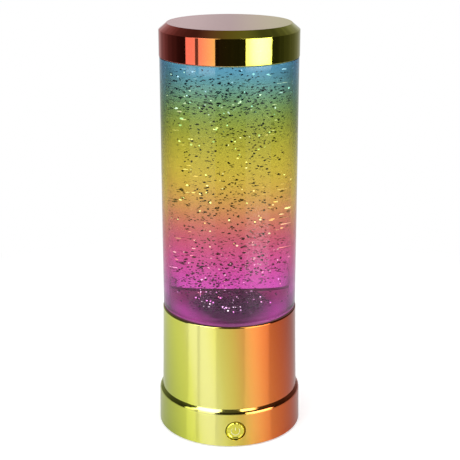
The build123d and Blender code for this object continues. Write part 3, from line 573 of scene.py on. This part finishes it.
def bored(mesh, cutter_mesh):
    """Cuts one closed mesh out of another: what is left is the first without the second."""
    whole = bpy.data.objects.new("whole", mesh)
    cutter = bpy.data.objects.new("cutter", cutter_mesh)
    for thing in (whole, cutter):
        scene.collection.objects.link(thing)
    cut = whole.modifiers.new("bore", "BOOLEAN")
    cut.operation = "DIFFERENCE"
    cut.solver = "EXACT"
    cut.object = cutter
    bpy.context.view_layer.update()
    result = bpy.data.meshes.new_from_object(whole.evaluated_get(bpy.context.evaluated_depsgraph_get()))
    for thing in (whole, cutter):
        bpy.data.objects.remove(thing)
    return result


bore_outline = rounded([(0, 0), (bore_r, 0), (bore_r, bore_length), (0, bore_length)])
bore_cutter = laid(turned_mesh("bore_cutter", bore_outline, 96), bore_from, button_z)
ring_mesh = bored(ring_mesh, bore_cutter)
ring_mesh.name = "skirt_ring"
finish_piece("skirt_ring", ring_mesh, base_finish, "lamp", "metallised_base_plastic", "base_ring")


# The push button: a metallised cap with a rounded rim round a shallow dish, and a raised standby sign, on the
# switch's plunger. It sits a little low in its bore, rests just inside it and slides 1.5 mm deeper.
button_front, button_back, button_r = 43.03, 36.53, 5.6
button_bevel, button_rim, button_dish, dish_r = 0.7, 4.5, 0.28, 4.1
button_length = button_front - button_back
button_flange, button_flange_r = 1.2, 6.4
button_seat = button_z - 0.4
button_outline = rounded([
    (0, 0), (button_flange_r, 0), (button_flange_r, button_flange), (button_r, button_flange),
    (button_r, button_length - button_bevel, 0.3),
    (button_r - button_bevel, button_length, 0.25), (button_rim, button_length, 0.2),
    (dish_r, button_length - button_dish, 0.3), (0, button_length - button_dish)])
gold_tints = [(0.0, (0.80, 0.80, 0.09)), (0.5, (0.86, 0.84, 0.10)), (1.0, (0.86, 0.78, 0.10))]
button_finish = metallised("metallised_button", gold_tints, shine=0.09, ripple=0.00004, half_width=0.006,
                           coat=0.3)
button_mesh = laid(turned_mesh("push_button", button_outline, 128), -button_back, button_seat)
finish_piece("push_button", button_mesh, button_finish, "button", "metallised_button_plastic", "power_button")


def bead(name, path, radius, out=(0, -1, 0)):
    """A round bead along a path: each point plus radius times (cos b of the side way + sin b of the outward
    way). The radius is drawn in at both ends by the root of 1 - (2 s - 1) to the eighth, at share s."""
    share = np.linspace(0, 1, len(path))
    way = np.gradient(path, axis=0)
    way /= np.linalg.norm(way, axis=1, keepdims=True)
    side = np.cross(way, out)
    round_about = np.linspace(0, 2 * pi, 10, endpoint=False)
    swell = radius * np.sqrt(np.clip(1 - (2 * share - 1) ** 8, 1e-6, 1))
    b_cos, b_sin = np.cos(round_about)[None, :, None], np.sin(round_about)[None, :, None]
    points = path[:, None, :] + swell[:, None, None] * (b_cos * side[:, None, :] + b_sin * np.array(out))
    return sheet_of(name, points, (False, True))


sign_r, sign_line = 2.5, 0.15
arc_start, arc_end, arc_points = 130, 410, 60
bar_low, bar_high, bar_points = 0.3, 2.4, 12
sign_depth = -(button_front - button_dish)
sign_finish = Finish("sign_paint")
sign_grain = sign_finish.grain(4000)
sign_tint = sign_finish.mix(sign_grain, (0.62, 0.60, 0.34), (0.92, 0.91, 0.74))
sign_material = sign_finish.surface(Base_Color=sign_tint, Roughness=0.35 + sign_grain * 0.2)
sweep = np.radians(np.linspace(arc_start, arc_end, arc_points))
arc_path = np.stack([sign_r * np.cos(sweep), np.full(arc_points, sign_depth),
                     button_seat + sign_r * np.sin(sweep)], -1)
bar_path = np.stack([np.zeros(bar_points), np.full(bar_points, sign_depth),
                     button_seat + np.linspace(bar_low, bar_high, bar_points)], -1)
for sign_name, sign_path in (("sign_arc", arc_path), ("sign_bar", bar_path)):
    finish_piece(sign_name, bead(sign_name, sign_path * mm, sign_line * mm), sign_material, "button",
                 "metallised_button_plastic")


# The base body: one tapered moulding with an inner shelf for the motor deck, metallised like the ring under
# it. Its rim is rolled over a small radius and stands round the tank's stepped foot, and its lip drops into
# the ring.
rim_z, shelf_z, shelf_under_z, seat_z, seat_r = 75.6, 62.0, 60.0, 74.7, 39.2
body_foot_r, body_rim_r, shelf_bore_r = 41.267, 40.317, 28.617
lip_wall, lip_rise = 1.6, 2.5


def body_r(height):
    """The tapered wall's radius at a height: foot radius - (foot - rim) times the share of the way up."""
    return body_foot_r - (body_foot_r - body_rim_r) * (height - body_z) / (rim_z - body_z)


lip_r = flange_r - 0.3
lip_top_z, lip_z = body_z + lip_rise, body_z - lip_depth
body_outline = [
    (body_foot_r, body_z), (body_rim_r, rim_z, 0.8), (seat_r, rim_z), (seat_r, seat_z),
    (body_r(seat_z) - shell_wall, seat_z), (body_r(shelf_z) - shell_wall, shelf_z),
    (shelf_bore_r, shelf_z, 0.3), (shelf_bore_r, shelf_under_z, 0.3),
    (body_r(shelf_under_z) - shell_wall, shelf_under_z), (body_r(lip_top_z) - shell_wall, lip_top_z),
    (lip_r - lip_wall, lip_top_z), (lip_r - lip_wall, lip_z), (lip_r, lip_z), (lip_r, body_z)]
finish_piece("base_body", turned_mesh("base_body", rounded(body_outline)), base_finish, "lamp",
             "metallised_base_plastic", "base_housing")


# Inside the body: the motor hangs from a round deck on the shelf, its shaft carries the magnet holder, and
# the ring-shaped light board stands above. They are the part's own solids, in plain trade finishes.
grey_plastic = moulded("grey_plastic", (0.22, 0.22, 0.23), 0.45)
dress(grey_plastic, "motor_deck", "drive_rotor")
dress(plated("motor_can", (0.62, 0.62, 0.60), 0.32, 500, (1, 1, 6)), "motor")
dress(steel, "motor_shaft", "pivot_pin", "plate_screws", "door_screws", "tank_screws", "deck_screws",
      "motor_screws", "board_screws")
dress(plated("magnet_nickel", (0.66, 0.64, 0.60), 0.16), "drive_magnets", "impeller_magnets")
dress(moulded("light_package", (0.80, 0.76, 0.55), 0.3, 0.08, 2500), "leds")
dress(rubber, "tank_gasket", "plug_seal", "filler_bung")


# The tank: clear acrylic tube, floor and spigot in one, coated with a fade of tints from teal to magenta.
# Its foot is stepped to sit in the body's rim. The liquid stands 0.3 mm inside the bore, which leaves the
# clear edge that shows on both sides.
tank_z, tank_top_z, floor_z, floor_under_z, band_z = 75.0, 226.7, 76.8, 73.8, 77.7
foot_r, foot_z = 39.1, 75.7
tank_r, tank_bore_r, neck_r, neck_z = 39.997, 36.997, 38.497, 238.5
spigot_r, spigot_bore_r, spigot_z = 37.817, 33.817, 62.3
boss_r, boss_rise, pin_r, pin_depth = 2.5, 0.8, 1.0, 2.2
tank_outline = [
    (0, floor_under_z), (spigot_bore_r, floor_under_z), (spigot_bore_r, spigot_z), (spigot_r, spigot_z, 0.3),
    (spigot_r, tank_z), (foot_r, tank_z), (foot_r, foot_z), (tank_r, foot_z), (tank_r, band_z),
    (tank_r, tank_top_z, 0.3), (neck_r, tank_top_z), (neck_r, neck_z), (tank_bore_r, neck_z),
    (tank_bore_r, floor_z), (boss_r, floor_z), (boss_r, floor_z + boss_rise), (pin_r, floor_z + boss_rise),
    (pin_r, floor_z - pin_depth), (0, floor_z - pin_depth)]
tint_low, tint_high = 0.060, 0.2385
tank_tints = [
    (0.00, (0.55, 0.07, 0.48)), (0.14, (0.80, 0.11, 0.67)), (0.22, (0.64, 0.06, 0.34)),
    (0.30, (0.60, 0.055, 0.18)), (0.38, (0.62, 0.16, 0.12)), (0.46, (0.72, 0.43, 0.09)),
    (0.54, (0.69, 0.53, 0.055)), (0.64, (0.53, 0.47, 0.05)), (0.72, (0.27, 0.32, 0.035)),
    (0.79, (0.20, 0.37, 0.10)), (0.86, (0.15, 0.40, 0.50)), (0.93, (0.10, 0.37, 0.64)),
    (1.00, (0.09, 0.35, 0.72))]
tank_finish = Finish("tinted_acrylic")
tank_x, tank_y, tank_height = tank_finish.place()
tank_tint = tank_finish.ramp((tank_height - tint_low) / (tint_high - tint_low), tank_tints, "B_SPLINE")

# Only the outer face is coated. Towards the outline, where the face is seen aslant, its tint is darkened by
# painted shade: fully in the upper part, by half lower down, and most of all low down, near the solid foot.
coat_from_r, foot_scale, dim_scale = 38.6, 0.12, 0.24
foot_shade_stops = [(0.645, grey(0.30)), (0.67, grey(0.10)), (0.715, grey(0.11)), (0.745, grey(0.30)),
              (0.80, grey(0.28)), (0.85, grey(0.60)), (0.95, grey(1.0))]
edge_shade_stops = [(0.36, grey(1.0)), (0.56, grey(0.58)), (0.72, grey(0.26))]
tank_aslant = tank_finish.node("ShaderNodeLayerWeight", sockets={"Blend": 0.5}, output="Facing")
tank_foot_shade = tank_finish.ramp(tank_height / foot_scale, foot_shade_stops)
tank_foot_shade = tank_finish.mix(tank_finish.fade(tank_aslant, 0.32, 0.62), grey(1.0), tank_foot_shade)
tank_edge_shade = tank_finish.ramp(tank_aslant, edge_shade_stops)
full_shade_share = tank_finish.fade(tank_height / dim_scale, 0.62, 0.84)
tank_edge_shade = tank_finish.mix(full_shade_share, tank_finish.mix(0.5, tank_edge_shade, grey(1.0)), tank_edge_shade)
tank_tint = tank_finish.over(tank_finish.over(tank_tint, tank_edge_shade), tank_foot_shade)
tank_coated = (tank_x ** 2 + tank_y ** 2).above((coat_from_r * mm) ** 2)
tank_tint = tank_finish.mix(tank_coated, grey(1.0), tank_tint)
tank_material = tank_finish.surface(Base_Color=tank_tint, Transmission_Weight=1.0, IOR=1.49, Roughness=0.0)
tank_mesh = turned_mesh("tank", rounded(tank_outline))
finish_piece("tank", tank_mesh, tank_material, "lamp", "clear_tank_plastic", "tank")

# Its floor is satin under a film of fine dust, dark in the middle and darker towards the back. Its sides are
# pale magenta and glow with painted light, an emission. The band at its foot is darker, and lighter towards
# the sides by the same painted light. Under it a black line is painted for the seal and the gap at the rim,
# partly the seal's black and partly painted shade; it lies a little higher at the sides.
floor_reach, floor_squeeze, band_from_r = 0.04, 0.42, 39
seal_shade_rise, seal_shade_bow, seal_shade_blur = 0.45, 1.2, 0.4
floor_finish = Finish("satin_floor")
floor_x, floor_y, floor_height = floor_finish.place()
floor_grain = floor_finish.grain(260, 4.0, rough=0.6)
floor_way = (floor_x ** 2 + (floor_y * floor_squeeze) ** 2) ** 0.5 + (floor_grain - 0.5) * 0.008
painted_side_light = floor_finish.fade(floor_way / floor_reach, 0.30, 0.60)
floor_tint = floor_finish.mix(painted_side_light, (0.16, 0.05, 0.14), (0.95, 0.24, 0.85))
band_tint = floor_finish.mix(painted_side_light, (0.11, 0.022, 0.085), (0.34, 0.05, 0.24))
# The black line is partly the seal's black and partly painted shade in the gap under the tank.
seal_and_shade_height = (foot_z + seal_shade_rise + (floor_x / floor_reach) ** 2 * seal_shade_bow) * mm
seal_and_shade_share = floor_finish.fade((seal_and_shade_height - floor_height) / (seal_shade_blur * mm) + 0.5, 0.0, 1.0)
band_tint = floor_finish.mix(seal_and_shade_share, band_tint, (0.06, 0.008, 0.004))
on_band = (floor_x ** 2 + floor_y ** 2).above((band_from_r * mm) ** 2)
floor_back = floor_finish.fade(floor_y / (2 * floor_reach) + 0.5, 0.45, 0.72)
floor_back = floor_finish.mix(floor_back, grey(1.0), (0.80, 0.56, 0.50))
floor_tint = floor_finish.over(floor_finish.mix(on_band, floor_tint, band_tint), floor_back)
# The glow is painted light: an emission on the floor's sides, weaker at the back.
floor_painted_glow = floor_finish.over(floor_finish.mix(on_band, painted_side_light, grey(0.0)), floor_back)
floor_painted_glow = floor_finish.over(floor_painted_glow, (0.26, 0.07, 0.21))
floor_material = floor_finish.surface(Base_Color=floor_tint, Roughness=0.45 + floor_grain * 0.2,
                                      Emission_Color=floor_painted_glow, Emission_Strength=1.0)
tank_mesh.materials.append(floor_material)
face_middle = np.empty(len(tank_mesh.polygons) * 3)
face_normal = np.empty(len(tank_mesh.polygons) * 3)
tank_mesh.polygons.foreach_get("center", face_middle)
tank_mesh.polygons.foreach_get("normal", face_normal)
face_x, face_y, face_z = face_middle.reshape(-1, 3).T / mm
face_up = np.abs(face_normal.reshape(-1, 3)[:, 2])
face_r = np.hypot(face_x, face_y)
on_floor = (face_up > 0.9) & (face_z < floor_z + 0.1) & (face_r < tank_bore_r)
on_floor |= (face_z > foot_z + 0.1) & (face_z < band_z - 0.1) & (face_r > band_from_r)
tank_mesh.polygons.foreach_set("material_index", on_floor.astype(np.int32))


# The stirrer: a dark moulded wheel with curved vanes over two magnets. It spins on the steel pin in the
# tank's floor, and is the part's own solid.
dress(moulded("dark_impeller_plastic", (0.03, 0.022, 0.03), 0.35), "impeller")


# Settled glitter: loose flakes heaped round the stirrer, over a thin film of fine dust on the tank's floor.
# All of them are cut from metallised film into small hexagons, and a few carry a painted glint.
chance = np.random.default_rng(11)
flake_thick = 0.06 * mm


def flakes_mesh(name, centres, radii, lean, tone, spark, lit_lean=1.0, lit_size=0.75):
    """Hexagonal flakes: corner k of a flake is its centre + radius (cos k60 of its first way + sin k60 of its
    second way), half a thickness below and again half a thickness above along its normal. The normal leans
    from upright by the given angles. Those with a painted glint, an emission, lean towards the room's front
    by about lit_lean, and their radius is times lit_size."""
    count = len(centres)
    turn = chance.uniform(0, 2 * pi, count)
    lit = spark.sum(1) > 0
    turn = np.where(lit, chance.normal(-pi / 2, 0.4, count), turn)
    lean = np.where(lit, chance.normal(lit_lean, 0.2, count), lean)
    radii = np.where(lit, radii * lit_size, radii)
    spin = chance.uniform(0, 2 * pi, count)
    normal = np.stack([np.sin(lean) * np.cos(turn), np.sin(lean) * np.sin(turn), np.cos(lean)], -1)
    level = np.stack([-np.sin(turn), np.cos(turn), np.zeros(count)], -1)
    steep = np.cross(normal, level)
    first = level * np.cos(spin)[:, None] + steep * np.sin(spin)[:, None]
    second = np.cross(normal, first)
    corner = np.radians(np.arange(6) * 60)[None, :, None]
    rim = np.cos(corner) * first[:, None, :] + np.sin(corner) * second[:, None, :]
    rim = centres[:, None, :] + rim * radii[:, None, None]
    offset = normal[:, None, :] * flake_thick / 2
    points = np.concatenate([rim - offset, rim + offset], 1)
    start = (np.arange(count) * 12)[:, None]
    low = start + np.arange(6)[None, ::-1]
    high = start + np.arange(6, 12)[None, :]
    k = np.arange(6)
    sides = np.stack([k, (k + 1) % 6, (k + 1) % 6 + 6, k + 6], -1)[None] + start[:, :, None]
    faces = low.tolist() + high.tolist() + sides.reshape(-1, 4).tolist()
    mesh = bpy.data.meshes.new(name)
    mesh.from_pydata(points.reshape(-1, 3), [], faces)
    shade = mesh.attributes.new("tone", "FLOAT", "POINT")
    shade.data.foreach_set("value", np.repeat(tone, 12).astype(np.float32))
    glint = mesh.attributes.new("glint", "FLOAT_COLOR", "POINT")
    colours = np.concatenate([spark, np.ones((count, 1))], 1)
    glint.data.foreach_set("color", np.repeat(colours, 12, axis=0).ravel().astype(np.float32))
    return mesh


def foil(name, dark, pale, strength):
    """Metallised film: dark to pale by each flake's tone, with painted glints, an emission of the given
    strength, on a few.
    """
    finish = Finish(name)
    tone = finish.node("ShaderNodeAttribute", {"attribute_name": "tone"}, output="Fac")
    glint = finish.node("ShaderNodeAttribute", {"attribute_name": "glint"}, output="Color")
    finish.owner.cycles.emission_sampling = "NONE"
    return finish.surface(Base_Color=finish.mix(tone, dark, pale), Metallic=0.85, Roughness=0.22 + tone * 0.1,
                          Emission_Color=glint, Emission_Strength=strength)


def painted_glints(count, share, colours):
    """The painted glint colour of each flake, an emission: black for most, and for the given share of them
    one of the colours, times a random brightness."""
    lit = (chance.random(count) < share)[:, None]
    colour = np.array(colours)[chance.integers(0, len(colours), count)]
    return lit * colour * chance.uniform(0.35, 1, (count, 1))


def strewn(turn, away, height):
    """Points at an angle, a way out from the axis and a height: (way cos angle, way sin angle, height)."""
    return np.stack([away * np.cos(turn), away * np.sin(turn), height], -1)


heap_count = 4200
heap_r, heap_spread, heap_inner_r, heap_outer_r = 11.2, 2.6, 5.5, 18.5
heap_rise, heap_slope_r, heap_lift = 8.4, 7, 0.3
wheel_r, wheel_top_z, wheel_lift = 10.6, 83.7, 0.4
heap_turn = chance.uniform(0, 2 * pi, heap_count)
heap_out = np.clip(chance.normal(heap_r, heap_spread, heap_count), heap_inner_r, heap_outer_r)
heap_clump = 0.80 + 0.20 * np.sin(2 * heap_turn + 0.5) * np.cos(3 * heap_turn - 1.0)
heap_top = heap_rise * np.clip(1 - ((heap_out - heap_r) / heap_slope_r) ** 2, 0.05, 1) * heap_clump
heap_high = floor_z + heap_lift + heap_top * chance.random(heap_count) ** 0.6
on_wheel = np.maximum(heap_high, wheel_top_z + wheel_lift + chance.random(heap_count))
heap_high = np.where(heap_out < wheel_r, on_wheel, heap_high)
heap_size = chance.uniform(0.35, 0.65, heap_count)
heap_lean = chance.normal(0, 0.4, heap_count)
heap_tone = chance.random(heap_count) ** 5
heap_painted_sparks = painted_glints(heap_count, 0.018, [(0.55, 1.2, 0.6), (0.6, 0.9, 0.65), (0.7, 0.5, 0.7)])
heap_mesh = flakes_mesh("settled_flakes", strewn(heap_turn, heap_out, heap_high) * mm, heap_size * mm,
                        heap_lean, heap_tone, heap_painted_sparks)
heap_foil = foil("heap_foil", (0.016, 0.007, 0.015), (0.09, 0.035, 0.08), strength=6.0)
finish_piece("settled_flakes", heap_mesh, heap_foil, "lamp", "glitter_foil", "settled_glitter", crease=20)


# Drifting glitter: hexagons hanging in the liquid, most of them dark against the light, a few with a painted
# glint.
# Half of them drift in loose clouds, the rest are strewn evenly, and they lie nearly flat.
drift_count, drift_r, drift_low, drift_high = 3400, 35, 82, 226
cloud_r, cloud_spread = 30, (9, 9, 5)
cloud_bands = [(88, 222, 16), (190, 222, 8), (86, 120, 6)]
cloud_count = sum(count for low, high, count in cloud_bands)
cloud_turn = chance.uniform(0, 2 * pi, cloud_count)
cloud_out = cloud_r * np.sqrt(chance.random(cloud_count))
cloud_z = np.concatenate([chance.uniform(*band) for band in cloud_bands])
clouds = strewn(cloud_turn, cloud_out, cloud_z)
loose_turn = chance.uniform(0, 2 * pi, drift_count)
loose_out = drift_r * np.sqrt(chance.random(drift_count))
loose = strewn(loose_turn, loose_out, chance.uniform(drift_low + 2, drift_high - 2, drift_count))
own_cloud = clouds[chance.integers(0, cloud_count, drift_count)]
clouded = own_cloud + chance.normal(0, cloud_spread, (drift_count, 3))
drift = np.where((chance.random(drift_count) < 0.5)[:, None], clouded, loose)
drift[:, :2] *= np.minimum(1, drift_r / np.hypot(drift[:, 0], drift[:, 1]))[:, None]
drift[:, 2] = np.clip(drift[:, 2], drift_low, drift_high)
drift_painted_sparks = painted_glints(drift_count, 0.055, [(1, 1, 1), (1, 0.95, 0.6), (0.8, 1.2, 0.9), (0.9, 1.2, 0.9)])
drift_size = 0.45 + 0.34 * chance.random(drift_count) ** 1.5
drift_lean = chance.normal(0.4, 0.35, drift_count)
drift_tone = chance.random(drift_count) ** 5
drift_mesh = flakes_mesh("drifting_flakes", drift * mm, drift_size * mm, drift_lean, drift_tone, drift_painted_sparks)
drift_foil = foil("drift_foil", grey(0.02), (0.55, 0.55, 0.50), strength=3.0)
finish_piece("drifting_flakes", drift_mesh, drift_foil, "lamp", "glitter_foil", "glitter_flakes", crease=20)


# Bright flakes near the far side of the tank, where the round liquid draws them out into streaks. Their
# brightness is a painted glint, an emission. They are the same cut film and lie flat.
streak_count, streak_r, streak_low, streak_high = 44, 35.4, 98, 221
streak_turn = np.radians(chance.uniform(17, 29, streak_count)) * chance.choice([-1, 1], streak_count)
streak_turn += radians(90) - camera_turn
streak = strewn(streak_turn, streak_r, chance.uniform(streak_low, streak_high, streak_count))
streak_size = chance.uniform(0.4, 0.8, streak_count)
streak_tone = chance.random(streak_count) ** 2
streak_painted_sparks = painted_glints(streak_count, 1.0, [(1, 1, 0.9), (1, 0.85, 0.5), (1, 0.8, 0.6)])
streak_mesh = flakes_mesh("far_flakes", streak * mm, streak_size * mm, np.zeros(streak_count), streak_tone,
                          streak_painted_sparks, lit_lean=0.1, lit_size=1.0)
streak_foil = foil("far_foil", grey(0.3), (0.6, 0.6, 0.55), strength=2.7)
finish_piece("far_flakes", streak_mesh, streak_foil, "lamp", "glitter_foil", crease=20)


# The liquid: clear and thin, filling the tank from its floor to just under the plug. Its foot dips a little
# into the floor, so that no film of air shows there.
liquid_r, liquid_z, liquid_top_z = 36.697, 76.6, 229.2
liquid_outline = [(0, liquid_z), (liquid_r, liquid_z), (liquid_r, liquid_top_z, 0.3), (0, liquid_top_z)]
liquid_finish = Finish("clear_liquid")
liquid_height = liquid_finish.place()[2]
liquid_tints = [(0.3, (0.98, 0.95, 0.99)), (0.95, (0.96, 0.99, 0.99))]
liquid_tint = liquid_finish.ramp(liquid_height / 0.245, liquid_tints)
liquid_material = liquid_finish.surface(Base_Color=liquid_tint, Transmission_Weight=1.0, IOR=1.33,
                                        Roughness=0.0)
finish_piece("liquid", turned_mesh("liquid", rounded(liquid_outline)), liquid_material, "lamp",
             "tinted_liquid", "liquid")


# The plug in the tank's neck, pressed in over its seal, with the filler bung in its middle.
# It is a grey moulding, hidden under the cap, and the part's own solid.
dress(grey_plastic, "tank_plug")


# The top cap: one chamfered moulding, metallised, its lacquer fading from red on the left to olive on the
# right. Its flat top is satin and paler. It is pressed over the tank's neck.
cap_z, cap_top_z, chamfer_drop = 227.0, 245.8, 3.9
cap_r, cap_face_r, cap_wall = 40.297, 35.697, 1.5
cap_outline = [
    (cap_r - cap_wall, cap_z), (cap_r, cap_z, 0.35), (cap_r, cap_top_z - chamfer_drop, 0.35),
    (cap_face_r, cap_top_z, 0.35), (0, cap_top_z), (0, cap_top_z - cap_wall),
    (cap_face_r - 0.55, cap_top_z - cap_wall), (cap_r - cap_wall, cap_top_z - chamfer_drop - 0.6)]
cap_tints = [
    (0.0, (0.74, 0.10, 0.08)), (0.16, (0.74, 0.10, 0.06)), (0.30, (0.66, 0.13, 0.07)),
    (0.40, (0.66, 0.28, 0.07)), (0.48, (0.66, 0.42, 0.04)), (0.60, (0.70, 0.62, 0.06)),
    (0.75, (0.68, 0.68, 0.09)), (0.86, (0.56, 0.56, 0.05)), (1.0, (0.40, 0.38, 0.04))]
lid_tints = [
    (0.0, (0.72, 0.36, 0.38)), (0.5, (0.58, 0.28, 0.27)), (0.72, (0.60, 0.40, 0.17)),
    (1.0, (0.64, 0.58, 0.12))]
cap_lid = ((cap_top_z - 0.05) * mm, lid_tints, 0.16)
cap_finish = metallised("metallised_cap", cap_tints, shine=0.045, ripple=0.00002, half_width=0.0403,
                        coat=0.14, lid=cap_lid)
finish_piece("top_cap", turned_mesh("top_cap", rounded(cap_outline)), cap_finish, "lamp",
             "metallised_cap_plastic", "top_cap")
